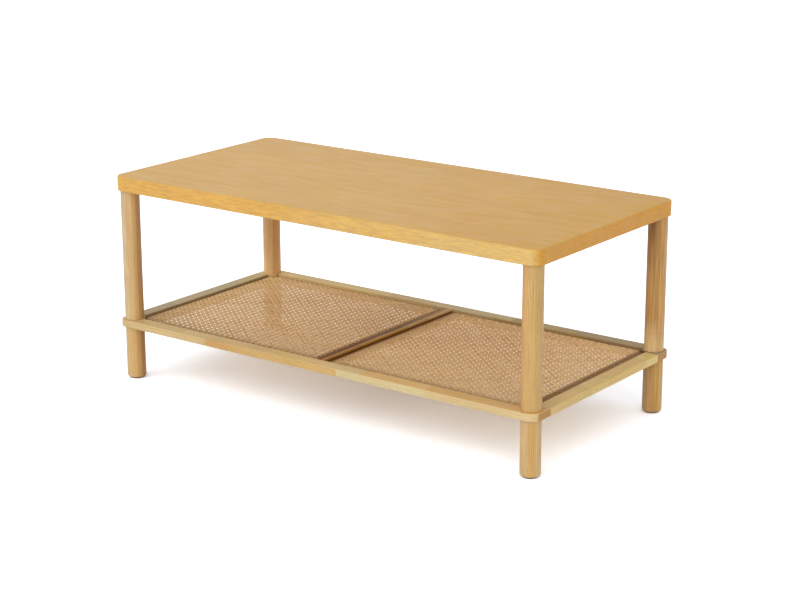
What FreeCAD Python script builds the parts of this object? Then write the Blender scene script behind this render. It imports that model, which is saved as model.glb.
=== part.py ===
import FreeCAD, Part
import os

from FreeCAD import Vector

# Low table: a solid top on four round legs, with a cane shelf clamped between
# the upper and lower part of each leg. Millimetres, +Z up, origin on the floor
# below the middle of the top, +X along the length, front face towards -Y.

# Top
table_length = 1000.0
table_width = 480.0
table_height = 420.0
top_thickness = 30.0
top_corner_radius = 24.0
top_upper_edge_round = 3.0
top_lower_edge_round = 1.5

# Legs
leg_diameter = 38.0
leg_inset = 24.0
leg_end_ease = 0.8
foot_edge_round = 3.0

# Shelf frame
shelf_height = 124.5
rail_thickness = 15.0
rail_face_width = 28.0
ledge_width = 22.0
centre_rail_face_width = 16.0
recess_depth = 6.5
corner_pad_margin = 2.0
frame_corner_radius = 20.0
frame_edge_round = 1.5

# Cane panels, their groove and their splines
cane_thickness = 1.6
groove_wall = 2.0
groove_width = 4.4
groove_depth = 3.0
spline_rise = 1.2
mesh_columns = 12
mesh_rows = 10
mesh_band = 15.0
mesh_corner_cut = 5.0
panel_margin = 4.0

# Joinery
dowel_diameter = 6.0
dowel_length = 28.0
dowel_edge_distance = 8.0
dowel_chamfer = 0.8
tenon_thickness = 5.0
tenon_length = 12.0
fit_clearance = 0.2
hole_end_gap = 1.0

# Threaded hardware
bolt_diameter = 8.0
bolt_thread_length = 15.0
bolt_wood_length = 40.0
bolt_tip_length = 5.0
bolt_tip_diameter = 2.0
insert_diameter = 12.0
insert_length = 18.0
insert_chamfer = 1.0

# Foot glides
glide_diameter = 30.0
glide_thickness = 3.0
glide_edge_chamfer = 1.2
nail_diameter = 2.4
nail_length = 14.0
nail_tip_length = 3.0

# How far a cutting shape runs past the face that it opens
cut_overrun = 5.0

# How closely an edge has to keep to one height to count as lying flat there
flat_tolerance = 0.05

half_length = table_length / 2
half_width = table_width / 2
leg_radius = leg_diameter / 2
leg_x = half_length - leg_inset
leg_y = half_width - leg_inset
top_underside = table_height - top_thickness
shelf_underside = shelf_height - rail_thickness
ledge_height = shelf_height - recess_depth
rail_width = rail_face_width + ledge_width
centre_rail_width = centre_rail_face_width + 2 * ledge_width
recess_y = half_width - rail_face_width
joint_y = half_width - rail_width
bolt_radius = bolt_diameter / 2

corners = {
    "front_left": (-1, -1),
    "front_right": (1, -1),
    "rear_left": (-1, 1),
    "rear_right": (1, 1),
}
sides = {"left": -1, "right": 1}


def box(x_low, x_high, y_low, y_high, z_low, z_high):
    """Box between two corners."""
    return Part.makeBox(
        x_high - x_low, y_high - y_low, z_high - z_low, Vector(x_low, y_low, z_low)
    )


def rod(x, y, z_low, z_high, diameter):
    """Upright round rod."""
    return Part.makeCylinder(diameter / 2, z_high - z_low, Vector(x, y, z_low))


def turned(x, y, outline):
    """Solid turned about the upright line through x, y from (radius, height) points."""
    points = [Vector(x + radius, y, height) for radius, height in outline]
    face = Part.Face(Part.makePolygon(points + points[:1]))
    return face.revolve(Vector(x, y, 0), Vector(0, 0, 1), 360)


def rounded_plate(z_low, z_high, corner_radius):
    """Plate with the table's plan outline and rounded upright corners."""
    plate = box(-half_length, half_length, -half_width, half_width, z_low, z_high)
    upright = [edge for edge in plate.Edges if edge.BoundBox.ZLength > flat_tolerance]
    return plate.makeFillet(corner_radius, upright)


def rim_edges(plate, height):
    """Edges of a plate that lie flat at one height."""
    return [
        edge
        for edge in plate.Edges
        if max(abs(vertex.Z - height) for vertex in edge.Vertexes) < flat_tolerance
    ]


def leg_places():
    """Leg axes, one for each corner."""
    return [(sign_x * leg_x, sign_y * leg_y) for sign_x, sign_y in corners.values()]


def fused(solids):
    """Several solids that overlap or touch, joined into one clean solid."""
    return solids[0].fuse(solids[1:]).removeSplitter()


# Top and legs


def table_top():
    """Slab with a soft upper edge and four blind holes for the threaded sleeves."""
    slab = rounded_plate(top_underside, table_height, top_corner_radius)
    slab = slab.makeFillet(top_upper_edge_round, rim_edges(slab, table_height))
    slab = slab.makeFillet(top_lower_edge_round, rim_edges(slab, top_underside))
    hole_top = top_underside + insert_length + hole_end_gap
    hole_diameter = insert_diameter + 2 * fit_clearance
    for x, y in leg_places():
        slab = slab.cut(rod(x, y, top_underside - cut_overrun, hole_top, hole_diameter))
    return slab


def bolt_hole(x, y, leg_top):
    """Blind hole down from a leg's upper end for the wood half of a bolt."""
    bottom = leg_top - bolt_wood_length - hole_end_gap
    return rod(x, y, bottom, leg_top + cut_overrun, bolt_diameter + 2 * fit_clearance)


def upper_leg(x, y):
    """Post between the shelf frame and the top."""
    leg = rod(x, y, shelf_height, top_underside, leg_diameter)
    ends = rim_edges(leg, shelf_height) + rim_edges(leg, top_underside)
    leg = leg.makeChamfer(leg_end_ease, ends)
    leg = leg.cut(bolt_hole(x, y, top_underside))
    sleeve_top = shelf_height + insert_length + hole_end_gap
    sleeve_diameter = insert_diameter + 2 * fit_clearance
    return leg.cut(rod(x, y, shelf_height - cut_overrun, sleeve_top, sleeve_diameter))


def lower_leg(x, y):
    """Foot below the shelf frame, rounded at the floor end."""
    leg = rod(x, y, glide_thickness, shelf_underside, leg_diameter)
    leg = leg.makeFillet(foot_edge_round, rim_edges(leg, glide_thickness))
    leg = leg.makeChamfer(leg_end_ease, rim_edges(leg, shelf_underside))
    leg = leg.cut(bolt_hole(x, y, shelf_underside))
    nail_hole_top = glide_thickness + nail_length + hole_end_gap
    nail_hole_diameter = nail_diameter + 2 * fit_clearance
    return leg.cut(rod(x, y, -cut_overrun, nail_hole_top, nail_hole_diameter))


# Shelf frame


def panel_prism(side, inset, z_low, z_high):
    """Plan shape of one recess drawn in by inset and hollowed round its two legs."""
    near = centre_rail_face_width / 2 + inset
    far = half_length - rail_face_width - inset
    reach = recess_y - inset
    prism = box(
        min(side * near, side * far), max(side * near, side * far), -reach, reach, z_low, z_high
    )
    pad_diameter = leg_diameter + 2 * (corner_pad_margin + inset)
    for sign_y in (-1, 1):
        pad = rod(
            side * leg_x, sign_y * leg_y, z_low - cut_overrun, z_high + cut_overrun, pad_diameter
        )
        prism = prism.cut(pad)
    return prism


def panel_ring(side, outer_inset, inner_inset, z_low, z_high):
    """Band between two insets of one recess outline."""
    outer = panel_prism(side, outer_inset, z_low, z_high)
    inner = panel_prism(side, inner_inset, z_low - cut_overrun, z_high + cut_overrun)
    return outer.cut(inner)


def frame_blank():
    """Whole outline of the shelf frame, from which each rail is taken."""
    blank = rounded_plate(shelf_underside, shelf_height, frame_corner_radius)
    rims = rim_edges(blank, shelf_height) + rim_edges(blank, shelf_underside)
    blank = blank.makeFillet(frame_edge_round, rims)
    for side in sides.values():
        blank = blank.cut(panel_prism(side, 0, ledge_height, shelf_height + cut_overrun))
        groove = panel_ring(
            side,
            groove_wall,
            groove_wall + groove_width,
            ledge_height - groove_depth,
            ledge_height + cut_overrun,
        )
        blank = blank.cut(groove)
    for x, y in leg_places():
        stud_hole = rod(
            x,
            y,
            shelf_underside - cut_overrun,
            shelf_height + cut_overrun,
            bolt_diameter + 2 * fit_clearance,
        )
        blank = blank.cut(stud_hole)
    return blank


def dowel_places():
    """Dowel centres, two in the full-thickness strip at each corner joint."""
    strip_outer = half_length - dowel_edge_distance
    strip_inner = half_length - rail_face_width + dowel_edge_distance
    return [
        (sign_x * x, sign_y * joint_y)
        for sign_x, sign_y in corners.values()
        for x in (strip_outer, strip_inner)
    ]


def cross_rod(x, y, length, diameter):
    """Round rod along Y, centred on a rail joint at half the rail's thickness."""
    middle = shelf_underside + rail_thickness / 2
    return Part.makeCylinder(diameter / 2, length, Vector(x, y - length / 2, middle), Vector(0, 1, 0))


def drilled(rail):
    """Rail with the dowel holes that reach it."""
    for x, y in dowel_places():
        hole = cross_rod(x, y, dowel_length + 2 * hole_end_gap, dowel_diameter + 2 * fit_clearance)
        rail = rail.cut(hole)
    return rail


def tenon(sign_y, clearance, end_gap):
    """Stub tenon of the centre rail, or with clearances the mortise that takes it."""
    middle = (shelf_underside + ledge_height) / 2
    half_thickness = tenon_thickness / 2 + clearance
    half_face = centre_rail_face_width / 2 + clearance
    ends = sorted((sign_y * joint_y, sign_y * (joint_y + tenon_length + end_gap)))
    return box(
        -half_face, half_face, ends[0], ends[1], middle - half_thickness, middle + half_thickness
    )


def long_rail(blank, sign_y):
    """Front or rear rail, full length, with the mortise for the centre rail."""
    near, far = sorted((sign_y * joint_y, sign_y * (half_width + cut_overrun)))
    reach = half_length + cut_overrun
    rail = blank.common(
        box(-reach, reach, near, far, shelf_underside - cut_overrun, shelf_height + cut_overrun)
    )
    face_half = centre_rail_face_width / 2
    lap_y = sorted((sign_y * (joint_y - cut_overrun), sign_y * recess_y))
    rail = rail.cut(
        box(-face_half, face_half, lap_y[0], lap_y[1], ledge_height, shelf_height + cut_overrun)
    )
    rail = rail.cut(tenon(sign_y, fit_clearance, hole_end_gap))
    return drilled(rail)


def side_rail(blank, side):
    """Left or right rail, butted between the long rails."""
    near, far = sorted((side * (half_length - rail_width), side * (half_length + cut_overrun)))
    rail = blank.common(
        box(
            near, far, -joint_y, joint_y, shelf_underside - cut_overrun, shelf_height + cut_overrun
        )
    )
    return drilled(rail)


def centre_rail(blank):
    """Cross rail whose upper strip laps the long rails' ledges down to the recess wall."""
    half_body = centre_rail_width / 2
    half_face = centre_rail_face_width / 2
    body = blank.common(
        box(-half_body, half_body, -joint_y, joint_y, shelf_underside, shelf_height)
    )
    lap_reach = recess_y - fit_clearance
    strip = box(-half_face, half_face, -lap_reach, lap_reach, ledge_height, shelf_height)
    tenons = [tenon(sign_y, 0, 0) for sign_y in (-1, 1)]
    return fused([body, strip] + tenons)


def rail_dowels():
    """Dowels of the four corner joints, with chamfered ends."""
    dowels = []
    for x, y in dowel_places():
        dowel = cross_rod(x, y, dowel_length, dowel_diameter)
        rims = [edge for edge in dowel.Edges if edge.BoundBox.YLength < flat_tolerance]
        dowels.append(dowel.makeChamfer(dowel_chamfer, rims))
    return Part.makeCompound(dowels)


# Cane panels


def mesh_hole(x, y, across_x, across_y, z_low, z_high):
    """Eight-sided hole of the weave."""
    half_x = across_x / 2
    half_y = across_y / 2
    flat_x = half_x - mesh_corner_cut
    flat_y = half_y - mesh_corner_cut
    points = [
        Vector(x + half_x, y - flat_y, z_low),
        Vector(x + half_x, y + flat_y, z_low),
        Vector(x + flat_x, y + half_y, z_low),
        Vector(x - flat_x, y + half_y, z_low),
        Vector(x - half_x, y + flat_y, z_low),
        Vector(x - half_x, y - flat_y, z_low),
        Vector(x - flat_x, y - half_y, z_low),
        Vector(x + flat_x, y - half_y, z_low),
    ]
    return Part.makePolygon(points + points[:1])


def cane_tuck_inset():
    """Inset of the tucked edge's outer face, one sheet thickness into the groove."""
    return groove_wall + groove_width - cane_thickness


def holed_sheet(side, z_low, z_high):
    """Flat sheet between the grooves, pierced by the open mesh as one holed face."""
    outline_prism = panel_prism(side, cane_tuck_inset(), z_low, z_high)
    floor_face = min(outline_prism.Faces, key=lambda face: face.CenterOfMass.z)
    open_near = centre_rail_width / 2 + panel_margin
    open_far = half_length - rail_width - panel_margin
    open_reach = joint_y - panel_margin
    pitch_x = (open_far - open_near) / mesh_columns
    pitch_y = 2 * open_reach / mesh_rows
    holes = []
    for column in range(mesh_columns):
        for row in range(mesh_rows):
            x = side * (open_near + (column + 0.5) * pitch_x)
            y = -open_reach + (row + 0.5) * pitch_y
            holes.append(
                mesh_hole(x, y, pitch_x - mesh_band, pitch_y - mesh_band, z_low, z_high)
            )
    face = Part.makeFace([floor_face.OuterWire] + holes, "Part::FaceMakerBullseye")
    return face.extrude(Vector(0, 0, z_high - z_low))


def cane_panel(side):
    """Woven sheet that lies on the ledges, with its edge tucked down into the groove."""
    sheet = holed_sheet(side, ledge_height, ledge_height + cane_thickness)
    tuck = panel_ring(
        side,
        cane_tuck_inset(),
        groove_wall + groove_width,
        ledge_height - groove_depth,
        ledge_height,
    )
    return fused([sheet, tuck])


def cane_splines(side):
    """Reed pressed into the groove round one panel."""
    return panel_ring(
        side,
        groove_wall,
        cane_tuck_inset(),
        ledge_height - groove_depth,
        ledge_height + spline_rise,
    )


# Threaded hardware and glides


def sleeve(x, y, mouth_height):
    """Threaded sleeve that opens downwards, flush with the wood around it."""
    wall_outer = insert_diameter / 2
    bore = bolt_radius + fit_clearance
    head = mouth_height + insert_length
    return turned(
        x,
        y,
        [
            (bore, mouth_height),
            (wall_outer, mouth_height),
            (wall_outer, head - insert_chamfer),
            (wall_outer - insert_chamfer, head),
            (bore, head),
        ],
    )


def hanger_bolt(x, y, wood_end, thread_end):
    """Rod with a machine thread above and a tapered wood thread below."""
    tip_radius = bolt_tip_diameter / 2
    return turned(
        x,
        y,
        [
            (0, wood_end),
            (tip_radius, wood_end),
            (bolt_radius, wood_end + bolt_tip_length),
            (bolt_radius, thread_end),
            (0, thread_end),
        ],
    )


def top_bolt(x, y):
    """Bolt that joins an upper leg to the top."""
    return hanger_bolt(x, y, top_underside - bolt_wood_length, top_underside + bolt_thread_length)


def shelf_stud(x, y):
    """Bolt that clamps a frame corner between the lower and the upper leg."""
    return hanger_bolt(x, y, shelf_underside - bolt_wood_length, shelf_height + bolt_thread_length)


def foot_glide(x, y):
    """Nail-on glide with a chamfered floor edge."""
    radius = glide_diameter / 2
    disc = rod(x, y, 0, glide_thickness, glide_diameter)
    disc = disc.makeChamfer(glide_edge_chamfer, rim_edges(disc, 0))
    nail_radius = nail_diameter / 2
    shoulder = glide_thickness / 2
    nail_end = glide_thickness + nail_length
    nail = turned(
        x,
        y,
        [
            (0, shoulder),
            (nail_radius, shoulder),
            (nail_radius, nail_end - nail_tip_length),
            (0, nail_end),
        ],
    )
    return fused([disc, nail])


def at_each_leg(piece):
    """One copy of a piece on each leg axis, kept as separate solids."""
    return Part.makeCompound([piece(x, y) for x, y in leg_places()])


def pieces():
    """Every piece of the table under its node name."""
    blank = frame_blank()
    parts = {
        "table_top": table_top(),
        "front_rail": long_rail(blank, -1),
        "rear_rail": long_rail(blank, 1),
        "centre_rail": centre_rail(blank),
        "rail_dowels": rail_dowels(),
        "top_inserts": at_each_leg(lambda x, y: sleeve(x, y, top_underside)),
        "leg_inserts": at_each_leg(lambda x, y: sleeve(x, y, shelf_height)),
        "top_bolts": at_each_leg(top_bolt),
        "shelf_studs": at_each_leg(shelf_stud),
        "foot_glides": at_each_leg(foot_glide),
    }
    for name, side in sides.items():
        parts[name + "_rail"] = side_rail(blank, side)
        parts[name + "_cane_panel"] = cane_panel(side)
        parts[name + "_cane_splines"] = cane_splines(side)
    for name, (sign_x, sign_y) in corners.items():
        parts[name + "_upper_leg"] = upper_leg(sign_x * leg_x, sign_y * leg_y)
        parts[name + "_lower_leg"] = lower_leg(sign_x * leg_x, sign_y * leg_y)
    return parts


os.makedirs("parts", exist_ok=True)
for name, shape in pieces().items():
    shape.exportStep("parts/" + name + ".step")
    print(name, len(shape.Solids), "solids", round(shape.Volume), "mm3", shape.isValid())
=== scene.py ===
import math
import random

import bpy
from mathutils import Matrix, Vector


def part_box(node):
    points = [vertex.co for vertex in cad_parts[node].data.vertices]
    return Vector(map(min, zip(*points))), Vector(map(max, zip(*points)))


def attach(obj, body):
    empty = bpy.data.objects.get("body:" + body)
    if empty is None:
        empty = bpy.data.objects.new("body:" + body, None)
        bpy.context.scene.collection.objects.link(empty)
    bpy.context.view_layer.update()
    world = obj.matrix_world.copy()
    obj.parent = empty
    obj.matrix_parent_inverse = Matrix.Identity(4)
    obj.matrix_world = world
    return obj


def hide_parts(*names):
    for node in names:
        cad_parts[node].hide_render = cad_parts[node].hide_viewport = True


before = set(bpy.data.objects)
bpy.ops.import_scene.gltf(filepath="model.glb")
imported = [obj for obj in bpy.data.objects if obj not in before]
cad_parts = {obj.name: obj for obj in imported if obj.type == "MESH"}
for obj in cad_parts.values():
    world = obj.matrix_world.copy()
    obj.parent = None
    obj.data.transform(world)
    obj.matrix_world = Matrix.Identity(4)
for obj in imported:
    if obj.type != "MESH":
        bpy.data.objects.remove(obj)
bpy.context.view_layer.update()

# Low wooden table with a woven cane shelf. Metres, in the frame's axes: +X along
# the length, front face towards -Y, +Z up from the floor.

MM = 0.001

# Camera, fitted to the edges of the table in the photograph
CAMERA_PLACE = Vector((2.2475, -2.9970, 1.2743))
CAMERA_HEADING = 36.484
CAMERA_DIP = 16.110
CAMERA_ROLL = -0.086
CAMERA_LENS = 89.51
CAMERA_SIGHT = 200.0
SENSOR_WIDTH = 36.0

# Light: an even white room and two broad soft lamps, (strength, direction it comes from)
ROOM_STRENGTH = 0.68
LAMPS = {
    "key": (0.72, Vector((-0.30, -0.78, 0.55))),
    "fill": (0.92, Vector((0.55, -0.75, 0.37))),
}
LAMP_SPREAD = 55.0

# Floor: FLOOR_TONE lights the table, and FLOOR_SEEN_TONE is what the eye gets
FLOOR_SIZE = 60.0
FLOOR_TONE = 0.85
FLOOR_SEEN_TONE = (1.70, 1.80, 1.96)

# Recesses in the shelf frame, mirrored left and right: their walls, the frame's round
# pads under the legs, and the ledge that carries the cane
RECESS_NEAR = 8 * MM
RECESS_FAR = 472 * MM
RECESS_REACH = 212 * MM
PAD_RADIUS = 21 * MM
LEG_X = 476 * MM
LEG_Y = 216 * MM
LEDGE_HEIGHT = 118 * MM

# Cane sheet: its weave and its strands
SHEET_MIDDLE = 119.35 * MM
SHEET_CENTRE = (RECESS_NEAR + RECESS_FAR) / 2
PITCH_X = 14.0 * MM
PITCH_Y = 11.9 * MM
COLUMNS = math.ceil((RECESS_FAR - RECESS_NEAR) / 2 / PITCH_X) + 1
ROWS = math.ceil(RECESS_REACH / PITCH_Y) + 1
ROW_SPACING = 3.7 * MM
ROW_WIDTH = 3.5 * MM
COLUMN_SPACING = 4.0 * MM
COLUMN_WIDTH = 3.6 * MM
DIAGONAL_WIDTH = 4.2 * MM
STRAND_THICKNESS = 1.0 * MM
STRAND_JITTER = 0.12 * MM
PAIR_LIFT = 0.42 * MM
DIAGONAL_LIFT = 0.85 * MM
FLAT_REACH = 2.3 * MM
PANEL_SEEDS = {"left": 11, "right": 12}

# Shades of the strands from light to dark: (lightest, how much darker at most). Rows are drawn lighter
# as painted sheen, columns darker as painted shade
ROW_SHADES_WITH_PAINTED_SHEEN = (0.0, 0.25)
COLUMN_SHADES_WITH_PAINTED_SHADE = (0.6, 0.4)
DIAGONAL_SHADES = (0.3, 0.5)
REED_SHADE = 0.5

# Sheet's edge, tucked into the groove: where it turns down, how deep and how sharply
TUCK_INSET = 4.9 * MM
TUCK_DEPTH = 2.4 * MM
TUCK_TURN = 1.1 * MM
TUCK_REST = 0.9 * STRAND_THICKNESS
TUCK_SAG = 0.3 * MM
SHORTEST_RUN = 7 * MM
PARALLEL = 1e-9

# Reed spline in the groove, its arcs round the pads and its straight sides
SPLINE_OUTER_INSET = 2.05 * MM
SPLINE_INNER_INSET = 4.75 * MM
SPLINE_FOOT = 115 * MM
SPLINE_SHOULDER = 118.5 * MM
SPLINE_CROWN = 119.15 * MM
SPLINE_BEVEL = 0.5 * MM
SPLINE_DROP = 0.15 * MM
SPLINE_WAVER = (-0.08, 0.05)
SPLINE_SEED_STEP = 20
ARC_STEPS = 14
STRAIGHT_PARTS = 12
STRAIGHT_LENGTH = 60 * MM
REED_STEP = 15 * MM

# Grain of the wood: scales of its noises along the grain and across it, per metre
WANDER_SIZE = (2.2, 9.0)
MOTTLE_SIZE = (5.0, 34.0)
FIBRE_SIZE = (26.0, 1500.0)
PORE_SIZE = (95.0, 2600.0)
PORE_DRIFT_SIZE = (7.0, 70.0)
STREAK_SIZE = (9.0, 420.0)
END_SPECK_SIZE = (3.0, 900.0)
POLISH_SIZE = (14.0, 60.0)
SLAB_DRIFT_SIZE = (3.2, 7.0)
SLAB_FLECK_SIZE = (45.0, 240.0)
STAVE_WAVER_SIZE = (8.0, 3.0)
DOWEL_SIZE = (10.0, 60.0)

# Grain of the wood: how far year rings sway, in rings, and how sharp rings and pores are
RING_SWAY = 9
RING_SHARPNESS = 2.2
PORE_CONTRAST = 14.0
VARNISH_ROUGHNESS = (0.36, 0.52)
VARNISH_BUMP = 0.35

# Scatter that gives each leg and rail its own grain: (first, step)
LEG_SCATTER = (1.7, 0.83)
RAIL_SCATTER = (9.3, 1.13)
DOWEL_SCATTER = 5.5

# Look of a wood, where its own options say nothing else
WOOD_LOOK = {
    "scatter": 0.0,
    "pith": (0.05, 0.16),
    "ring_width": 6.5 * MM,
    "tilt": 0.02,
    "ring_depth": 0.10,
    "mottle_depth": 0.12,
    "fibre_depth": 0.16,
    "pore_depth": 0.28,
    "streak_depth": 0.0,
    "end_colour": (176, 122, 78),
    "end_share": 1.0,
    "coat": 0.03,
    "specular": 0.25,
}

# Display tones from 0 to 255. The slab's go from left to right on its upper face and front,
# and from front to rear on its right end, which is darker and more orange there as painted shade.
SLAB_FACE_TONES = [
    (0.0, (218, 172, 94)),
    (0.45, (216, 171, 93)),
    (0.75, (214, 164, 80)),
    (1.0, (210, 161, 72)),
]
SLAB_FRONT_TONES = ((220, 171, 88), (221, 184, 113))
SLAB_END_PAINTED_SHADE_TONES = ((213, 155, 63), (211, 149, 48))
SLAB_REAR_TONE = (150, 98, 10)
# Painted light at a leg's foot, and painted shade at its head under the slab
LEG_FOOT_PAINTED_LIGHT_TONE = (246, 214, 160)
LEG_HEAD_PAINTED_SHADE_TONE = (120, 72, 34)
# Painted shade in the rails' recesses and on the cane beside their walls
RAIL_PAINTED_SHADE_TONE = (112, 66, 22)
CANE_PAINTED_SHADE_TONE = (104, 60, 20)
DOWEL_TONES = ((214, 182, 132), (202, 168, 120))
# Cane: light and dark tones, and a darker one painted along each strand's edges as shade
CANE_TONES = ((251, 227, 179), (212, 166, 107), (164, 116, 66))
# Reed: dark brown as painted shade in the groove beside the walls
REED_PAINTED_SHADE_TONES = ((114, 74, 36), (90, 56, 26), (58, 34, 14))
ZINC_TONES = ((196, 200, 204), (222, 220, 208))
PLASTIC_TONES = ((98, 78, 58), (140, 122, 102))

# Staves of a leg: how far their edges waver, and how much of a leg the painted light at its foot takes
STAVE_WAVER = 0.3 * MM
FOOT_PAINTED_LIGHT_REACH = 0.25

# Finger joints of a rail, and the painted shade under its upper face and on the recess walls
FINGER_LENGTH = 3.6 * MM
FINGER_SLOPE = 1.6
PAINTED_SHADE_FADE = 1.8 * MM
RAIL_LIP = 0.2 * MM
CENTRE_LIP = 2.4 * MM
CENTRE_MARGIN = (-2.0 * MM, 1.5 * MM)
REAR_SHADE_SPAN = (-0.05, 0.45)
REAR_SHADE_SHARES = (0.02, 0.70)

# Painted shade on the cane beside the right and left walls of a recess: how far it reaches in the left
# and in the right panel, the length over which it fades, and its share
RIGHT_REACHES = (20 * MM, 27 * MM)
RIGHT_FADE = 8 * MM
RIGHT_PAINTED_SHADE = 0.72
LEFT_REACHES = (7 * MM, 13 * MM)
LEFT_FADE = 4 * MM
LEFT_PAINTED_SHADE = 0.8

# Faint painted shade on the cane over the left ledge, with its share in the left and in the right
# panel, and beside the front wall; a fade is from one distance to another
LEDGE_PAINTED_SHADES = (0.0, 0.16)
LEDGE_FADE = (24 * MM, 32 * MM)
FRONT_PAINTED_SHADE = 0.24
FRONT_FADE = (20 * MM, 32 * MM)

# Painted light on the cane: its gain at the front and at the rear, and painted shade, how much dimmer
# the left panel is at its right side and at its front
SHEET_PAINTED_LIGHT_GAINS = (0.92, 1.17)
DIM_SIDE_SHARE = 0.09
DIM_SIDE_FADE = (60 * MM, 180 * MM)
DIM_FRONT_SHARE = 0.07
DIM_FRONT_FADE = (-0.2, -0.05)

# Noises on a strand: scales along it, across it and from strand to strand
STRAND_FIBRE_SIZE = (60.0, 9.0, 91.0)
STRAND_BLOTCH_SIZE = (9.0, 0.0, 47.0)

# Scales of the noises on metal and plastic, per metre
BLOOM_SCALE = 180.0
TURNING_SCALE = 5200.0
MOULDING_SCALE = 2400.0
SCUFF_SCALE = 260.0

# Staves glued side by side in each leg: (where a stave ends across the leg, its tone)
LEG_STAVES = {
    "front_left_upper_leg": [
        (0.32, (218, 189, 148)),
        (0.60, (219, 183, 130)),
        (0.80, (212, 172, 114)),
        (1.0, (194, 153, 102)),
    ],
    "front_right_upper_leg": [(0.22, (216, 171, 110)), (0.72, (209, 171, 110)), (1.0, (206, 171, 113))],
    "rear_left_upper_leg": [(0.58, (216, 176, 121)), (1.0, (213, 164, 104))],
    "rear_right_upper_leg": [(0.50, (200, 157, 99)), (0.60, (188, 142, 76)), (1.0, (209, 164, 106))],
    "front_left_lower_leg": [
        (0.18, (204, 174, 121)),
        (0.60, (216, 177, 119)),
        (0.82, (206, 161, 102)),
        (1.0, (188, 143, 94)),
    ],
    "front_right_lower_leg": [(0.30, (212, 177, 128)), (0.70, (209, 168, 105)), (1.0, (215, 182, 132))],
    "rear_left_lower_leg": [(0.50, (210, 166, 108)), (1.0, (206, 166, 112))],
    "rear_right_lower_leg": [
        (0.25, (206, 168, 118)),
        (0.50, (202, 156, 100)),
        (0.75, (204, 160, 92)),
        (1.0, (209, 170, 106)),
    ],
}

# Legs whose dark streaks are stronger than usual
LEG_STREAKS = {
    "rear_right_upper_leg": 0.24,
    "rear_right_lower_leg": 0.16,
    "rear_left_upper_leg": 0.12,
}
USUAL_STREAKS = 0.08

# Legs with painted light that pales the foot and painted shade under the slab that browns the head:
# (share at the foot, at the head)
LEG_PAINTED_LIGHT_AND_SHADE = {
    "front_left_upper_leg": (0.0, 0.20),
    "rear_left_upper_leg": (0.70, 0.0),
    "rear_right_upper_leg": (0.90, 0.80),
}

# Blocks jointed end to end in each rail: (where a block starts along the rail in mm, its tone)
RAIL_BLOCKS = {
    "front_rail": [
        (-500, (213, 185, 135)),
        (-262, (210, 167, 110)),
        (-205, (210, 173, 113)),
        (62, (218, 198, 151)),
        (262, (219, 193, 143)),
        (430, (222, 196, 147)),
    ],
    "rear_rail": [
        (-500, (230, 202, 140)),
        (-180, (215, 189, 136)),
        (0, (206, 186, 138)),
        (110, (194, 167, 114)),
        (330, (182, 159, 119)),
    ],
    "left_rail": [(-240, (189, 175, 139)), (-90, (198, 183, 144)), (110, (208, 188, 136))],
    "right_rail": [
        (-240, (228, 199, 136)),
        (-50, (234, 206, 140)),
        (10, (230, 200, 133)),
        (150, (234, 210, 143)),
    ],
    "centre_rail": [
        (-240, (178, 128, 64)),
        (-90, (186, 144, 64)),
        (60, (196, 158, 92)),
        (130, (216, 178, 118)),
    ],
}

# Upper faces toned apart from the rail's sides, their tones holding painted light and shade along the
# rail
UPPER_PAINTED_LIGHT_BLOCKS = {
    "front_rail": [
        (-500, (214, 186, 130)),
        (-330, (220, 194, 137)),
        (-110, (227, 199, 138)),
        (30, (226, 204, 150)),
        (110, (230, 194, 129)),
        (262, (222, 182, 115)),
    ],
    "rear_rail": [
        (-500, (239, 215, 158)),
        (-293, (243, 221, 163)),
        (-160, (223, 202, 150)),
        (0, (216, 201, 155)),
        (150, (196, 173, 122)),
        (300, (184, 164, 128)),
    ],
}


def tone(red, green, blue):
    """Linear colour from display values between 0 and 255."""
    return tuple(
        v / 12.92 if v <= 0.04045 else ((v + 0.055) / 1.055) ** 2.4
        for v in (red / 255, green / 255, blue / 255)
    ) + (1.0,)


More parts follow.
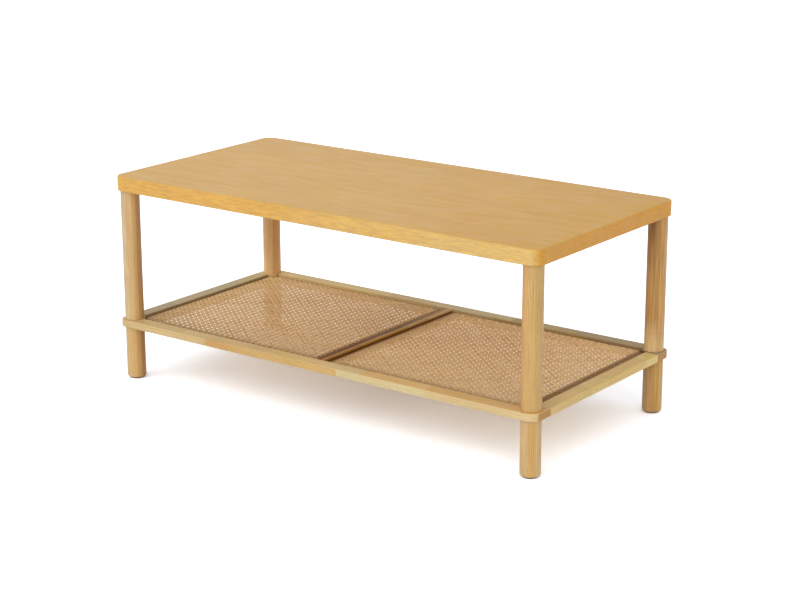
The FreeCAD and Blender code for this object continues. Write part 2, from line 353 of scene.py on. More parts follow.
class Graph:
    """Nodes of a material or a world. An input takes a plain value or another node's output."""

    def __init__(self, owner):
        owner.use_nodes = True
        self.owner = owner
        self.tree = owner.node_tree
        self.tree.nodes.clear()

    def node(self, kind, inputs=None, **settings):
        made = self.tree.nodes.new("ShaderNode" + kind)
        for key, value in settings.items():
            setattr(made, key, value)
        for key, value in (inputs or {}).items():
            if isinstance(value, bpy.types.NodeSocket):
                self.tree.links.new(value, made.inputs[key])
            else:
                made.inputs[key].default_value = value
        return made

    def math(self, operation, a, b=0.0, clamp=False):
        made = self.node("Math", {0: a, 1: b}, operation=operation, use_clamp=clamp)
        return made.outputs[0]

    def noise(self, at, detail=2.0, roughness=0.5, scale=1.0):
        inputs = {"Vector": at, "Scale": scale, "Detail": detail, "Roughness": roughness}
        return self.node("TexNoise", inputs).outputs[0]

    def grain_noise(self, coordinates, size, detail=2.0, roughness=0.5):
        """Noise drawn out along the grain; size holds its scales along and across it."""
        along, across, depth = coordinates
        at = self.joined(
            self.math("MULTIPLY", along, size[0]),
            self.math("MULTIPLY", across, size[1]),
            self.math("MULTIPLY", depth, size[1]),
        )
        return self.noise(at, detail, roughness)

    def span(self, value, low, high, to_low=0.0, to_high=1.0, smooth=False):
        """Value moved from low..high to to_low..to_high, held at the ends."""
        inputs = {0: value, 1: low, 2: high, 3: to_low, 4: to_high}
        kind = "SMOOTHSTEP" if smooth else "LINEAR"
        return self.node("MapRange", inputs, interpolation_type=kind).outputs[0]

    def noise_span(self, value, to_low=0.0, to_high=1.0):
        """Noise, which lies mostly between 0.3 and 0.7, moved to to_low..to_high."""
        return self.span(value, 0.3, 0.7, to_low, to_high)

    def blend(self, share, a, b, kind="MIX"):
        inputs = {0: share, 6: a, 7: b}
        return self.node("Mix", inputs, data_type="RGBA", blend_type=kind).outputs[2]

    def dimmed(self, colour, gain):
        """Colour times one gain."""
        return self.blend(1.0, colour, self.joined(gain, gain, gain), "MULTIPLY")

    def steps(self, value, stops, interpolation="CONSTANT"):
        """Colour along a 0..1 value from (position, display tone) stops."""
        made = self.node("ValToRGB", {0: value})
        ramp = made.color_ramp
        ramp.interpolation = interpolation
        while len(ramp.elements) < len(stops):
            ramp.elements.new(1.0)
        for element, (position, shade) in zip(ramp.elements, stops):
            element.position = position
            element.color = tone(*shade)
        return made.outputs[0]

    def joined(self, x, y, z):
        return self.node("CombineXYZ", {0: x, 1: y, 2: z}).outputs[0]

    def split(self, vector):
        return tuple(self.node("SeparateXYZ", {0: vector}).outputs)

    def coordinates(self, kind="Object"):
        return self.node("TexCoord").outputs[kind]

    def place(self):
        """Object coordinates split into x, y and z."""
        return self.split(self.coordinates())

    def normal(self, kind):
        """Surface normal split into x, y and z."""
        return self.split(self.node("NewGeometry").outputs[kind])

    def bump(self, height, strength, distance):
        inputs = {"Height": height, "Strength": strength, "Distance": distance}
        return self.node("Bump", inputs).outputs[0]

    def finish(self, shader, inputs, output="OutputMaterial"):
        """Ends the nodes in one shader and returns the material or world."""
        made = self.node(shader, inputs)
        self.node(output, {"Surface": made.outputs[0]})
        return self.owner


def new_material(name):
    return Graph(bpy.data.materials.new(name))


def wood_coordinates(graph, axis, scatter):
    """Position along the grain and two positions across it, shifted by scatter."""
    x, y, z = graph.place()
    order = {"X": (x, y, z), "Y": (y, x, z), "Z": (z, x, y)}[axis]
    shifts = (scatter, 0.37 * scatter, 0.71 * scatter)
    return tuple(graph.math("ADD", place, shift) for place, shift in zip(order, shifts))


def growth_rings(graph, coordinates, look):
    """Light and dark year rings round a wandering pith line, as a 0..1 value."""
    along, across, depth = coordinates
    wander = graph.grain_noise(coordinates, WANDER_SIZE, detail=3.0, roughness=0.55)
    reach = RING_SWAY * look["ring_width"]
    sway = graph.math("MULTIPLY", graph.math("SUBTRACT", wander, 0.5), reach)
    drift = graph.math("MULTIPLY", along, look["tilt"])
    a = graph.math("ADD", graph.math("ADD", across, look["pith"][0]), drift)
    b = graph.math("ADD", depth, look["pith"][1])
    squares = graph.math("ADD", graph.math("MULTIPLY", a, a), graph.math("MULTIPLY", b, b))
    radius = graph.math("ADD", graph.math("SQRT", squares), sway)
    turn = graph.math("FRACT", graph.math("DIVIDE", radius, look["ring_width"]))
    return graph.math("POWER", turn, RING_SHARPNESS)


def wood_pores(graph, coordinates):
    """Short pores that come in drifts, as a 0..1 value."""
    pore = graph.grain_noise(coordinates, PORE_SIZE, detail=1.0)
    drift = graph.grain_noise(coordinates, PORE_DRIFT_SIZE)
    edge = graph.span(drift, 0.35, 0.65, 0.70, 0.62)
    return graph.math("MULTIPLY", graph.math("SUBTRACT", pore, edge), PORE_CONTRAST, clamp=True)


def grain_gain(graph, coordinates, look, fibre, pores):
    """How much the grain brightens or darkens the ground colour."""
    mottle = graph.grain_noise(coordinates, MOTTLE_SIZE, detail=4.0, roughness=0.6)
    rings = growth_rings(graph, coordinates, look)
    gains = [
        graph.noise_span(mottle, 1 - look["mottle_depth"], 1 + look["mottle_depth"] / 2),
        graph.span(rings, 0.0, 1.0, 1.0, 1 - look["ring_depth"]),
        graph.span(fibre, 0.28, 0.72, 1 - look["fibre_depth"], 1 + look["fibre_depth"] / 2),
        graph.span(pores, 0.0, 1.0, 1.0, 1 - look["pore_depth"]),
    ]
    depth = look["streak_depth"]
    if depth:
        streak = graph.grain_noise(coordinates, STREAK_SIZE)
        gains.append(graph.span(streak, 0.32, 0.68, 1 + 0.6 * depth, 1 - depth))
    gain = gains[0]
    for other in gains[1:]:
        gain = graph.math("MULTIPLY", gain, other)
    return gain


def end_grain(graph, coordinates, axis, look):
    """Speckled colour of the end grain, and its share: full on faces square to the grain."""
    speck = graph.grain_noise(coordinates, END_SPECK_SIZE, roughness=0.6)
    colour = graph.dimmed(tone(*look["end_colour"]), graph.noise_span(speck, 0.86, 1.1))
    facing = graph.math("ABSOLUTE", graph.normal("True Normal")["XYZ".index(axis)])
    share = graph.math("MULTIPLY", graph.span(facing, 0.86, 0.97, smooth=True), look["end_share"])
    return colour, share


def wood(name, axis, ground, options):
    """Varnished wood: mottling, year rings, fibres, pores and end grain over a ground colour.

    ground takes the graph and the coordinates and returns that colour.
    """
    look = WOOD_LOOK | options
    graph = new_material(name)
    coordinates = wood_coordinates(graph, axis, look["scatter"])
    fibre = graph.grain_noise(coordinates, FIBRE_SIZE, detail=3.0, roughness=0.62)
    pores = wood_pores(graph, coordinates)
    gain = grain_gain(graph, coordinates, look, fibre, pores)
    tint = graph.joined(gain, graph.math("POWER", gain, 1.12), graph.math("POWER", gain, 1.35))
    colour = graph.blend(1.0, ground(graph, coordinates), tint, "MULTIPLY")
    end_colour, end_share = end_grain(graph, coordinates, axis, look)

    polish = graph.grain_noise(coordinates, POLISH_SIZE, detail=3.0)
    raised = graph.math("MULTIPLY", fibre, 0.5)
    height = graph.math("SUBTRACT", raised, graph.math("MULTIPLY", pores, 0.9))
    inputs = {
        "Base Color": graph.blend(end_share, colour, end_colour),
        "Roughness": graph.noise_span(polish, *VARNISH_ROUGHNESS),
        "Normal": graph.bump(height, VARNISH_BUMP, 0.12 * MM),
        "Coat Weight": look["coat"],
        "Coat Roughness": 0.28,
        "IOR": 1.4,
        "Specular IOR Level": look["specular"],
    }
    return graph.finish("BsdfPrincipled", inputs)


def slab_ground(graph, coordinates):
    """Honey-coloured slab: paler and pinker at the left, more golden at the right, partly its own tone
    and partly painted light; its right end darker as painted shade.
    """
    x, y, z = graph.place()
    drift = graph.grain_noise(coordinates, SLAB_DRIFT_SIZE)
    # The drift from left to right is partly the wood's own tone and partly painted light
    share = graph.math("ADD", graph.span(x, -0.5, 0.5), graph.math("SUBTRACT", drift, 0.5))
    face = graph.steps(share, SLAB_FACE_TONES, "LINEAR")
    face = graph.blend(graph.span(y, 0.05, 0.24, 0.0, 0.10), face, tone(*SLAB_REAR_TONE))
    edge = graph.blend(graph.span(share, 0.3, 0.65), *[tone(*shade) for shade in SLAB_FRONT_TONES])
    # Painted shade: the right end takes darker, more orange tones, chosen by its normal below
    end = graph.blend(graph.span(y, -0.2, 0.2), *[tone(*shade) for shade in SLAB_END_PAINTED_SHADE_TONES])
    rightward, rearward, upward = graph.normal("Normal")
    edge = graph.blend(graph.span(rightward, 0.4, 0.9), edge, end)
    fleck = graph.grain_noise(coordinates, SLAB_FLECK_SIZE, detail=3.0, roughness=0.6)
    fleck_gain = graph.span(fleck, 0.35, 0.65, 0.90, 1.08)
    pinker = graph.joined(fleck_gain, graph.math("POWER", fleck_gain, 1.2), 1.0)
    edge = graph.blend(1.0, edge, pinker, "MULTIPLY")
    level = graph.math("ABSOLUTE", upward)
    return graph.blend(graph.span(level, 0.35, 0.85), edge, face)


def slab_wood():
    """Fine-grained wood of the top."""
    options = {
        "ring_width": 8.0 * MM,
        "ring_depth": 0.05,
        "mottle_depth": 0.06,
        "fibre_depth": 0.10,
        "pore_depth": 0.12,
        "end_share": 0.0,
        "scatter": 3.1,
        "pith": (0.02, 0.30),
        "tilt": 0.05,
    }
    return wood("top_wood_fine_grain", "X", slab_ground, options)


def leg_wood(node, staves, scatter):
    """Pale leg glued from upright staves, some paler at the foot as painted light and browner at the
    head as painted shade.
    """
    low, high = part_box(node)
    middle = (low + high) / 2
    radius = (high.x - low.x) / 2
    turn = math.radians(CAMERA_HEADING)
    foot_light_share, head_shade_share = LEG_PAINTED_LIGHT_AND_SHADE.get(node, (0.0, 0.0))
    stops = []
    start = 0.0
    for end, shade in staves:
        stops.append((start, shade))
        start = end

    def ground(graph, coordinates):
        x, y, z = graph.place()
        across = graph.math(
            "ADD",
            graph.math("MULTIPLY", graph.math("SUBTRACT", x, middle.x), math.cos(turn)),
            graph.math("MULTIPLY", graph.math("SUBTRACT", y, middle.y), math.sin(turn)),
        )
        waver = graph.grain_noise(coordinates, STAVE_WAVER_SIZE, detail=1.0)
        across = graph.math("ADD", across, graph.noise_span(waver, -STAVE_WAVER, STAVE_WAVER))
        share = graph.span(across, -radius, radius)
        colour = graph.steps(share, stops)
        # Painted light at the foot is half as strong on the right, and painted shade at the head is
        # nearly gone there
        painted_light = graph.span(z, low.z, low.z + FOOT_PAINTED_LIGHT_REACH * (high.z - low.z), foot_light_share, 0.0)
        painted_light = graph.math("MULTIPLY", painted_light, graph.span(share, 0.48, 0.62, 1.0, 0.5))
        painted_shade = graph.span(z, middle.z, high.z, 0.0, head_shade_share)
        painted_shade = graph.math("MULTIPLY", painted_shade, graph.span(share, 0.34, 0.5, 0.8, 0.05))
        colour = graph.blend(painted_light, colour, tone(*LEG_FOOT_PAINTED_LIGHT_TONE))
        return graph.blend(painted_shade, colour, tone(*LEG_HEAD_PAINTED_SHADE_TONE))

    options = {
        "scatter": scatter,
        "pith": (0.03, 0.09),
        "ring_width": 4.0 * MM,
        "mottle_depth": 0.08,
        "fibre_depth": 0.18,
        "pore_depth": 0.30,
        "streak_depth": LEG_STREAKS.get(node, USUAL_STREAKS),
        "end_colour": (190, 146, 96),
    }
    return wood(node + "_wood", "Z", ground, options)


def recess_distance(graph, x, y):
    """How far a point lies inside the recesses' outer walls; below zero outside them."""
    from_side = graph.math("SUBTRACT", RECESS_FAR, graph.math("ABSOLUTE", x))
    from_front = graph.math("SUBTRACT", RECESS_REACH, graph.math("ABSOLUTE", y))
    return graph.math("MINIMUM", from_side, from_front)


def recess_painted_shade(graph, node, place, upward, face_height):
    """Share of painted shade on a rail: its recess walls, and the centre rail's left margin, above the
    ledge.
    """
    x, y, z = place
    edge = face_height - (CENTRE_LIP if node == "centre_rail" else RAIL_LIP)
    shaded_below_edge = graph.span(z, edge - PAINTED_SHADE_FADE, edge, 1.0, 0.0, smooth=True)
    wall = graph.span(graph.math("ABSOLUTE", upward), 0.2, 0.4, 1.0, 0.0)
    inner = graph.span(recess_distance(graph, x, y), -0.5 * MM, 0.5 * MM)
    dark = graph.math("MULTIPLY", graph.math("MULTIPLY", wall, inner), shaded_below_edge)
    if node == "rear_rail":
        share = graph.span(x, *REAR_SHADE_SPAN, *REAR_SHADE_SHARES)
        dark = graph.math("MULTIPLY", dark, share)
    if node == "centre_rail":
        margin = graph.span(x, *CENTRE_MARGIN, 1.0, 0.0, smooth=True)
        margin = graph.math("MULTIPLY", margin, graph.span(y, 0.02, 0.2, 1.0, 0.35))
        dark = graph.math("MAXIMUM", dark, margin)
    above_ledge = graph.span(z, LEDGE_HEIGHT - 0.6 * MM, LEDGE_HEIGHT - 0.1 * MM)
    return graph.math("MULTIPLY", dark, above_ledge)


def rail_wood(node, axis, blocks, scatter):
    """Pale rail of finger-jointed blocks, with painted shade in its recess."""
    low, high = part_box(node)
    length_index = "XYZ".index(axis)
    start = low[length_index]
    length = high[length_index] - start

    def jointed(graph, share, row):
        stops = [(max(0.0, (begin * MM - start) / length), shade) for begin, shade in row]
        return graph.steps(share, stops)

    def ground(graph, coordinates):
        place = graph.place()
        x, y, z = place
        side = graph.math("ADD", y if axis == "X" else x, z)
        teeth = graph.math("PINGPONG", side, FINGER_LENGTH)
        slanted = graph.math("MULTIPLY", teeth, FINGER_SLOPE)
        shifted = graph.math("ADD", place[length_index], slanted)
        share = graph.span(shifted, start, start + length)
        upward = graph.normal("True Normal")[2]
        colour = jointed(graph, share, blocks)
        # Painted light and shade: upper faces take their own tones along the rail
        if node in UPPER_PAINTED_LIGHT_BLOCKS:
            upper = jointed(graph, share, UPPER_PAINTED_LIGHT_BLOCKS[node])
            colour = graph.blend(graph.span(upward, 0.5, 0.8), colour, upper)
        # Painted shade on the recess walls and the centre rail's left margin
        dark = recess_painted_shade(graph, node, place, upward, high.z)
        return graph.blend(dark, colour, tone(*RAIL_PAINTED_SHADE_TONE))

    options = {
        "scatter": scatter,
        "pith": (0.03, 0.07),
        "ring_width": 5.0 * MM,
        "mottle_depth": 0.10,
        "fibre_depth": 0.15,
        "pore_depth": 0.26,
        "coat": 0.0,
        "specular": 0.12,
        "end_colour": (184, 139, 84),
    }
    return wood(node + "_wood", axis, ground, options)


def dowel_wood():
    """Plain pale wood of the dowels."""

    def ground(graph, coordinates):
        share = graph.grain_noise(coordinates, DOWEL_SIZE)
        return graph.blend(share, *[tone(*shade) for shade in DOWEL_TONES])

    return wood("dowel_wood_fluted", "Y", ground, {"scatter": DOWEL_SCATTER})


def by_panel(graph, x, values):
    """The first value in the left panel and the second in the right one."""
    return graph.span(x, 0.0, 1 * MM, *values)


def side_distances(graph, x):
    """How far a point lies from the right and from the left wall of its own recess."""
    module = RECESS_FAR + RECESS_NEAR
    from_right = graph.math("FLOORED_MODULO", graph.math("SUBTRACT", RECESS_FAR, x), module)
    from_left = graph.math("FLOORED_MODULO", graph.math("SUBTRACT", x, RECESS_NEAR), module)
    return from_right, from_left


def margin_painted_shade(graph, x, y):
    """Share of painted shade on the sheet beside the right, left and front walls of its recess."""
    from_right, from_left = side_distances(graph, x)
    from_front = graph.math("ADD", y, RECESS_REACH)
    reach = by_panel(graph, x, RIGHT_REACHES)
    right = graph.span(from_right, graph.math("SUBTRACT", reach, RIGHT_FADE), reach, RIGHT_PAINTED_SHADE, 0.0)
    reach = by_panel(graph, x, LEFT_REACHES)
    left = graph.span(from_left, graph.math("SUBTRACT", reach, LEFT_FADE), reach, LEFT_PAINTED_SHADE, 0.0)
    ledge = graph.span(from_left, *LEDGE_FADE, by_panel(graph, x, LEDGE_PAINTED_SHADES), 0.0)
    front = graph.span(from_front, *FRONT_FADE, FRONT_PAINTED_SHADE, 0.0, smooth=True)
    side = graph.math("MAXIMUM", graph.math("MAXIMUM", left, ledge), right)
    return graph.math("MAXIMUM", side, front)


def painted_sheet_light(graph, x, y):
    """Painted light on the sheet: brighter rearward, with painted shade at the left panel's right and
    front.
    """
    from_right, _ = side_distances(graph, x)
    corner = graph.span(from_right, *DIM_SIDE_FADE, DIM_SIDE_SHARE, 0.0)
    forward = graph.span(y, *DIM_FRONT_FADE, DIM_FRONT_SHARE, 0.0)
    dimmer = graph.math("MAXIMUM", corner, forward)
    dimmer = graph.math("MULTIPLY", dimmer, by_panel(graph, x, (1.0, 0.0)))
    rearward = graph.span(y, -0.2, 0.2, *SHEET_PAINTED_LIGHT_GAINS)
    return graph.math("MULTIPLY", rearward, graph.math("SUBTRACT", 1.0, dimmer))


def strand_noise(graph, coordinates, size, detail, roughness=0.5):
    """Noise over (along, across, strand) coordinates, scaled by size."""
    scaled = [
        graph.math("MULTIPLY", place, scale) if scale else 0.0
        for place, scale in zip(coordinates, size)
    ]
    return graph.noise(graph.joined(*scaled), detail, roughness)


def strand_material(name, tones):
    """Peeled cane: each strand its own tone between light and dark, with fibres along it."""
    light, dark, painted_edge_shade = (tone(*shade) for shade in tones)
    graph = new_material(name)
    along, across, _ = graph.split(graph.coordinates("UV"))
    strand = graph.node("Attribute", attribute_name="strand").outputs["Fac"]
    coordinates = (along, across, strand)
    fibre = strand_noise(graph, coordinates, STRAND_FIBRE_SIZE, detail=3.0, roughness=0.6)
    blotch = strand_noise(graph, coordinates, STRAND_BLOTCH_SIZE, detail=2.0)
    darker = graph.math("MULTIPLY", blotch, 0.5)
    share = graph.math("ADD", graph.math("MULTIPLY", strand, 0.55), darker)
    colour = graph.blend(graph.span(share, 0.2, 0.75), light, dark)
    colour = graph.dimmed(colour, graph.noise_span(fibre, 0.84, 1.08))
    # Painted shade along each strand's edges
    off_middle = graph.math("ABSOLUTE", graph.math("SUBTRACT", across, 0.5))
    shaded_rim = graph.span(off_middle, 0.3, 0.5, smooth=True)
    colour = graph.blend(graph.math("MULTIPLY", shaded_rim, 0.35), colour, painted_edge_shade)
    x, y, z = graph.place()
    # Painted light and shade on the sheet
    colour = graph.dimmed(colour, painted_sheet_light(graph, x, y))
    inputs = {
        # Painted shade beside the recess walls and over the left ledge
        "Base Color": graph.blend(margin_painted_shade(graph, x, y), colour, tone(*CANE_PAINTED_SHADE_TONE)),
        "Roughness": graph.noise_span(blotch, 0.42, 0.6),
        "Normal": graph.bump(fibre, 0.4, 0.08 * MM),
        "IOR": 1.45,
        "Specular IOR Level": 0.2,
    }
    return graph.finish("BsdfPrincipled", inputs)


def metal_material():
    """Bright zinc plating with a faint cloudy bloom and fine turning marks."""
    graph = new_material("zinc_plated_steel")
    at = graph.coordinates()
    z = graph.split(at)[2]
    cloud = graph.noise(at, detail=4.0, scale=BLOOM_SCALE)
    turned = graph.joined(0.0, 0.0, graph.math("MULTIPLY", z, TURNING_SCALE))
    marks = graph.noise(turned, detail=1.0)
    inputs = {
        "Base Color": graph.blend(graph.noise_span(cloud), *[tone(*shade) for shade in ZINC_TONES]),
        "Metallic": 1.0,
        "Roughness": graph.noise_span(cloud, 0.22, 0.42),
        "Normal": graph.bump(marks, 0.25, 0.05 * MM),
    }
    return graph.finish("BsdfPrincipled", inputs)


def glide_material():
    """Dark brown moulded plastic with a fine matt texture, scuffed where it slides."""
    graph = new_material("glide_plastic_matt")
    at = graph.coordinates()
    z = graph.split(at)[2]
    grain = graph.noise(at, detail=3.0, scale=MOULDING_SCALE)
    scuff = graph.noise(at, detail=4.0, roughness=0.7, scale=SCUFF_SCALE)
    near_floor = graph.span(z, 0.2 * MM, 1.4 * MM, 1.0, 0.0)
    worn = graph.math("MULTIPLY", graph.span(scuff, 0.5, 0.7), near_floor)
    inputs = {
        "Base Color": graph.blend(worn, *[tone(*shade) for shade in PLASTIC_TONES]),
        "Roughness": graph.noise_span(scuff, 0.5, 0.72),
        "Normal": graph.bump(grain, 0.3, 0.05 * MM),
    }
    return graph.finish("BsdfPrincipled", inputs)


def add_object(name, data):
    """New object linked into the scene."""
    made = bpy.data.objects.new(name, data)
    bpy.context.scene.collection.objects.link(made)
    return made


def recess_outline(side, inset):
    """Corner points of one recess outline drawn in by inset, anticlockwise for the right side."""
    near = RECESS_NEAR + inset
    far = RECESS_FAR - inset
    reach = RECESS_REACH - inset
    radius = PAD_RADIUS + inset
    start = math.pi + math.asin((LEG_Y - reach) / radius)
    end = 1.5 * math.pi - math.asin((LEG_X - far) / radius)
    arc = []
    for step in range(ARC_STEPS + 1):
        angle = start + (end - start) * step / ARC_STEPS
        arc.append((LEG_X + radius * math.cos(angle), LEG_Y + radius * math.sin(angle)))
    rear = [(near, reach)] + arc
    front = [(x, -y) for x, y in reversed(rear)]
    return [(side * x, y) for x, y in rear + front]


def divided(points):
    """Closed outline with each long straight side cut into equal parts."""
    result = []
    for k, point in enumerate(points):
        following = points[(k + 1) % len(points)]
        result.append(point)
        if math.dist(point, following) > STRAIGHT_LENGTH:
            for part in range(1, STRAIGHT_PARTS):
                share = part / STRAIGHT_PARTS
                x = point[0] + (following[0] - point[0]) * share
                y = point[1] + (following[1] - point[1]) * share
                result.append((x, y))
    return result


def runs_inside(start, direction, inset):
    """Stretches of a line that lie inside the right recess outline, as distances along it."""
    low, high = -math.inf, math.inf
    limits = ((RECESS_NEAR + inset, RECESS_FAR - inset), (inset - RECESS_REACH, RECESS_REACH - inset))
    for place, step, (least, most) in zip(start, direction, limits):
        if abs(step) < PARALLEL:
            if not least < place < most:
                return []
            continue
        ends = sorted(((least - place) / step, (most - place) / step))
        low, high = max(low, ends[0]), min(high, ends[1])
    runs = [(low, high)] if low < high else []
    for centre in ((LEG_X, LEG_Y), (LEG_X, -LEG_Y)):
        away = (start[0] - centre[0], start[1] - centre[1])
        nearest = -(away[0] * direction[0] + away[1] * direction[1])
        reach = (PAD_RADIUS + inset) ** 2 - away[0] ** 2 - away[1] ** 2 + nearest**2
        if reach <= 0:
            continue
        half = math.sqrt(reach)
        kept = []
        for begin, end in runs:
            kept.append((begin, min(end, nearest - half)))
            kept.append((max(begin, nearest + half), end))
        runs = [run for run in kept if run[1] - run[0] > SHORTEST_RUN]
    return runs


class Mesh:
    """Vertices, faces and per-face data gathered for one object."""

    def __init__(self):
        self.points = []
        self.faces = []
        self.along = []
        self.strand = []

    def build(self, name, material):
        """Smooth object with a UV map along its strands and each strand's shade."""
        data = bpy.data.meshes.new(name)
        data.from_pydata(self.points, [], self.faces)
        layer = data.uv_layers.new(name="UVMap")
        flat = [value for corners in self.along for corner in corners for value in corner]
        layer.uv.foreach_set("vector", flat)
        shade = data.attributes.new("strand", "FLOAT", "FACE")
        shade.data.foreach_set("value", self.strand)
        data.polygons.foreach_set("use_smooth", [True] * len(data.polygons))
        data.materials.append(material)
        data.validate()
        return add_object(name, data)


def strand_section(width):
    """Crowned section of a strand: offsets sideways, upwards, and the share across."""
    half = width / 2
    rise = STRAND_THICKNESS / 2
    return [
        (-half, -0.8 * rise, 0.0),
        (-0.5 * half, rise, 0.25),
        (0.5 * half, rise, 0.75),
        (half, -0.8 * rise, 1.0),
    ]


def add_strand(mesh, stations, direction, width, shade):
    """One strand through (x, y, z) stations, running along a level direction."""
    aside_x, aside_y = -direction[1], direction[0]
    section = strand_section(width)
    count = len(section)
    first = len(mesh.points)
    travelled = [0.0]
    for a, b in zip(stations, stations[1:]):
        travelled.append(travelled[-1] + math.dist(a, b))
    for x, y, z in stations:
        for aside, up, share in section:
            mesh.points.append((x + aside_x * aside, y + aside_y * aside, z + up))
    for ring in range(len(stations) - 1):
        for k in range(count):
            a = first + ring * count + k
            b = first + ring * count + (k + 1) % count
            mesh.faces.append((a, a + count, b + count, b))
            u0, u1 = travelled[ring], travelled[ring + 1]
            v0, v1 = section[k][2], section[(k + 1) % count][2]
            mesh.along.append([(u0, v0), (u1, v0), (u1, v1), (u0, v1)])
            mesh.strand.append(shade)
    for ring, order in ((0, 1), (len(stations) - 1, -1)):
        cap = [first + ring * count + k for k in range(count)][::order]
        mesh.faces.append(cap)
        mesh.along.append([(travelled[ring], section[k][2]) for k in range(count)][::order])
        mesh.strand.append(shade)


def tucked_strand(mesh, side, line, run, heights, width, shade):
    """Strand along one run of a line: it follows heights and turns down at both ends."""
    start, direction = line
    begin, end = run
    inner = [
        (distance, height)
        for distance, height in heights
        if begin + 2 * TUCK_TURN < distance < end - 2 * TUCK_TURN
    ]
    low = LEDGE_HEIGHT - TUCK_DEPTH
    rest = LEDGE_HEIGHT + TUCK_REST
    path = [(begin, low), (begin + 0.3 * TUCK_TURN, rest - TUCK_SAG), (begin + TUCK_TURN, rest)]
    path += inner
    path += [(end - TUCK_TURN, rest), (end - 0.3 * TUCK_TURN, rest - TUCK_SAG), (end, low)]
    stations = [
        (side * (start[0] + direction[0] * distance), start[1] + direction[1] * distance, height)
        for distance, height in path
    ]
    add_strand(mesh, stations, (side * direction[0], direction[1]), width, shade)


def lay_strands(mesh, side, line, heights, width, shade):
    """One strand on each stretch of a line that lies inside the recess."""
    for run in runs_inside(*line, TUCK_INSET):
        tucked_strand(mesh, side, line, run, heights, width, shade)


def drawn_shade(draw, shades):
    """One strand's shade, drawn from its kind's range."""
    lightest, spread = shades
    return lightest + spread * draw.random()


def pair_heights(pitch, half_pair, upper, crossings):
    """Heights of one strand of a pair, which goes over and under the pairs that it crosses."""
    heights = []
    for crossing in range(crossings):
        distance = crossing * pitch
        heights.append((distance - half_pair, SHEET_MIDDLE + upper * PAIR_LIFT))
        heights.append((distance + half_pair, SHEET_MIDDLE - upper * PAIR_LIFT))
        heights.append((distance + pitch / 2, SHEET_MIDDLE))
    return heights


def lay_rows(mesh, side, draw):
    """Pairs of strands along the table's length."""
    for row in range(-ROWS, ROWS + 1):
        for upper in (1, -1):
            jitter = draw.uniform(-STRAND_JITTER, STRAND_JITTER)
            y = row * PITCH_Y + upper * ROW_SPACING / 2 + jitter
            line = ((SHEET_CENTRE - (COLUMNS + 1) * PITCH_X, y), (1, 0))
            heights = pair_heights(PITCH_X, COLUMN_SPACING / 2, upper, 2 * COLUMNS + 3)
            # Rows drawn lighter: painted sheen
            shade = drawn_shade(draw, ROW_SHADES_WITH_PAINTED_SHEEN)
            lay_strands(mesh, side, line, heights, ROW_WIDTH, shade)


def lay_columns(mesh, side, draw):
    """Pairs of strands across the table."""
    for column in range(-COLUMNS, COLUMNS + 1):
        for upper in (1, -1):
            jitter = draw.uniform(-STRAND_JITTER, STRAND_JITTER)
            x = SHEET_CENTRE + column * PITCH_X + upper * COLUMN_SPACING / 2 + jitter
            line = ((x, -(ROWS + 1) * PITCH_Y), (0, 1))
            heights = pair_heights(PITCH_Y, ROW_SPACING / 2, upper, 2 * ROWS + 3)
            # Columns drawn darker: painted shade
            shade = drawn_shade(draw, COLUMN_SHADES_WITH_PAINTED_SHADE)
            lay_strands(mesh, side, line, heights, COLUMN_WIDTH, shade)


def diagonal_heights(cell, climb, cells):
    """Heights of a diagonal strand, which goes over one set of pairs and under the other."""
    heights = []
    for k in range(cells):
        for middle, lift in ((k * cell, climb), ((k + 0.5) * cell, -climb)):
            height = SHEET_MIDDLE + lift * DIAGONAL_LIFT
            heights.append((middle - FLAT_REACH, height))
            heights.append((middle + FLAT_REACH, height))
    return heights


def lay_diagonals(mesh, side, draw):
    """Single strands aslant both ways through the weave's cells."""
    cell = math.hypot(PITCH_X, PITCH_Y)
    half_cells = COLUMNS + ROWS + 1
    for climb in (1, -1):
        direction = (PITCH_X / cell, climb * PITCH_Y / cell)
        heights = diagonal_heights(cell, climb, 2 * half_cells + 1)
        for offset in range(-half_cells, half_cells + 1):
            start_x = SHEET_CENTRE + (offset + 0.5 - half_cells) * PITCH_X
            line = ((start_x, -climb * half_cells * PITCH_Y), direction)
            shade = drawn_shade(draw, DIAGONAL_SHADES)
            lay_strands(mesh, side, line, heights, DIAGONAL_WIDTH, shade)


def woven_panel(side, name, material, seed):
    """Six-way woven cane: pairs both ways that weave through each other, and two diagonals."""
    draw = random.Random(seed)
    mesh = Mesh()
    lay_rows(mesh, side, draw)
    lay_columns(mesh, side, draw)
    lay_diagonals(mesh, side, draw)
    return mesh.build(name, material)


def spline_profile():
    """Section of the reed: inset from the recess wall, height and share round it."""
    middle = (SPLINE_OUTER_INSET + SPLINE_INNER_INSET) / 2
    bevel_height = SPLINE_CROWN - SPLINE_DROP
    return [
        (SPLINE_OUTER_INSET, SPLINE_FOOT, 0.0),
        (SPLINE_OUTER_INSET, SPLINE_SHOULDER, 0.15),
        (SPLINE_OUTER_INSET + SPLINE_BEVEL, bevel_height, 0.3),
        (middle, SPLINE_CROWN, 0.5),
        (SPLINE_INNER_INSET - SPLINE_BEVEL, bevel_height, 0.7),
        (SPLINE_INNER_INSET, SPLINE_SHOULDER, 0.85),
        (SPLINE_INNER_INSET, SPLINE_FOOT, 1.0),
    ]


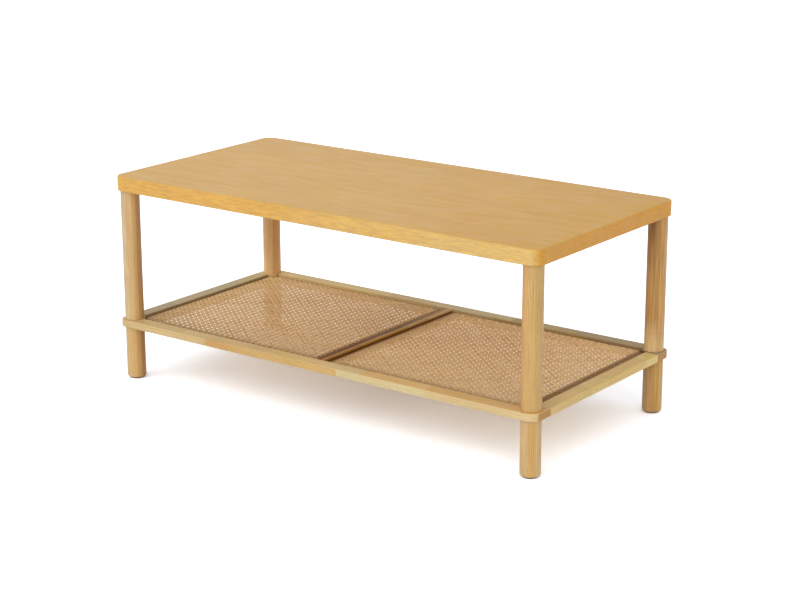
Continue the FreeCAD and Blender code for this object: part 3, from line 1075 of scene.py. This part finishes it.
def spline_ring(side, name, material, seed):
    """Reed pressed into the groove, with a rounded and slightly wavering upper face."""
    draw = random.Random(seed)
    profile = spline_profile()
    layers = len(profile)
    mesh = Mesh()
    for inset, height, share in profile:
        outline = divided(recess_outline(side, inset))
        upper = 0.2 < share < 0.8
        waver = [draw.uniform(*SPLINE_WAVER) * MM if upper else 0.0 for _ in outline]
        mesh.points += [(x, y, height + lift) for (x, y), lift in zip(outline, waver)]
    count = len(mesh.points) // layers
    order = 1 if side < 0 else -1
    for layer in range(layers):
        following = (layer + 1) % layers
        for k in range(count):
            other = (k + 1) % count
            face = (
                layer * count + k,
                layer * count + other,
                following * count + other,
                following * count + k,
            )
            mesh.faces.append(face[::order])
            u0, u1 = k * REED_STEP, (k + 1) * REED_STEP
            v0, v1 = profile[layer][2], profile[following][2]
            mesh.along.append([(u0, v0), (u1, v0), (u1, v1), (u0, v1)][::order])
            mesh.strand.append(REED_SHADE)
    return mesh.build(name, material)


def dress(node, material):
    """Gives a CAD node one material."""
    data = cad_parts[node].data
    data.materials.clear()
    data.materials.append(material)


def dress_frame():
    """Materials of the CAD nodes that stay."""
    dress("table_top", slab_wood())
    first, step = LEG_SCATTER
    for number, (node, staves) in enumerate(LEG_STAVES.items()):
        dress(node, leg_wood(node, staves, first + step * number))
    first, step = RAIL_SCATTER
    for number, (node, blocks) in enumerate(RAIL_BLOCKS.items()):
        axis = "X" if node in ("front_rail", "rear_rail") else "Y"
        dress(node, rail_wood(node, axis, blocks, first + step * number))
    metal = metal_material()
    for node in ("top_inserts", "leg_inserts", "top_bolts", "shelf_studs"):
        dress(node, metal)
    dress("foot_glides", glide_material())
    dress("rail_dowels", dowel_wood())


def weave():
    """The two cane panels and the reed round them, in place of their CAD nodes."""
    cane = strand_material("cane_skin", CANE_TONES)
    reed = strand_material("reed_spline", REED_PAINTED_SHADE_TONES)
    for side, name in ((-1, "left"), (1, "right")):
        seed = PANEL_SEEDS[name]
        panel = woven_panel(side, name + "_woven_cane", cane, seed)
        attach(panel, "root")
        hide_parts(name + "_cane_panel")
        ring = spline_ring(side, name + "_reed_spline", reed, seed + SPLINE_SEED_STEP)
        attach(ring, "root")
        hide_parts(name + "_cane_splines")


def seen_share(graph):
    """1 for rays that show the surroundings to the eye, direct or by mirror or glass."""
    path = graph.node("LightPath").outputs
    share = graph.math("MAXIMUM", path["Is Camera Ray"], path["Is Glossy Ray"])
    return graph.math("MAXIMUM", share, path["Is Transmission Ray"])


def floor():
    """Plain pale floor, which reads as white where no shadow lies on it."""
    half = FLOOR_SIZE / 2
    corners = [(-half, -half, 0), (half, -half, 0), (half, half, 0), (-half, half, 0)]
    data = bpy.data.meshes.new("floor")
    data.from_pydata(corners, [], [(0, 1, 2, 3)])
    made = add_object("floor", data)
    graph = new_material("pale_floor")
    lit = (FLOOR_TONE, FLOOR_TONE, FLOOR_TONE, 1.0)
    colour = graph.blend(seen_share(graph), lit, FLOOR_SEEN_TONE + (1.0,))
    data.materials.append(graph.finish("BsdfDiffuse", {"Color": colour}))


def room():
    """Even white surroundings, brighter to the eye than in their light on the table."""
    graph = Graph(bpy.data.worlds.new("room"))
    strength = graph.span(seen_share(graph), 0.0, 1.0, ROOM_STRENGTH, 1.0)
    inputs = {"Color": (1.0, 1.0, 1.0, 1.0), "Strength": strength}
    bpy.context.scene.world = graph.finish("Background", inputs, "OutputWorld")


def lamps():
    """Broad soft lamps from the front."""
    for name, (strength, direction) in LAMPS.items():
        data = bpy.data.lights.new(name, "SUN")
        data.energy = strength
        data.angle = math.radians(LAMP_SPREAD)
        made = add_object(name, data)
        made.rotation_euler = direction.to_track_quat("Z", "Y").to_euler()


def camera():
    """Camera at the photograph's place and angle, with no shift."""
    data = bpy.data.cameras.new("camera")
    data.sensor_fit = "HORIZONTAL"
    data.sensor_width = SENSOR_WIDTH
    data.lens = CAMERA_LENS
    data.clip_end = CAMERA_SIGHT
    made = add_object("camera", data)
    made.location = CAMERA_PLACE
    made.rotation_euler = (math.radians(90 - CAMERA_DIP), 0, math.radians(CAMERA_HEADING))
    made.rotation_euler.rotate_axis("Z", math.radians(CAMERA_ROLL))
    bpy.context.scene.camera = made


dress_frame()
weave()
floor()
room()
lamps()
camera()
bpy.context.scene.view_settings.view_transform = "Standard"
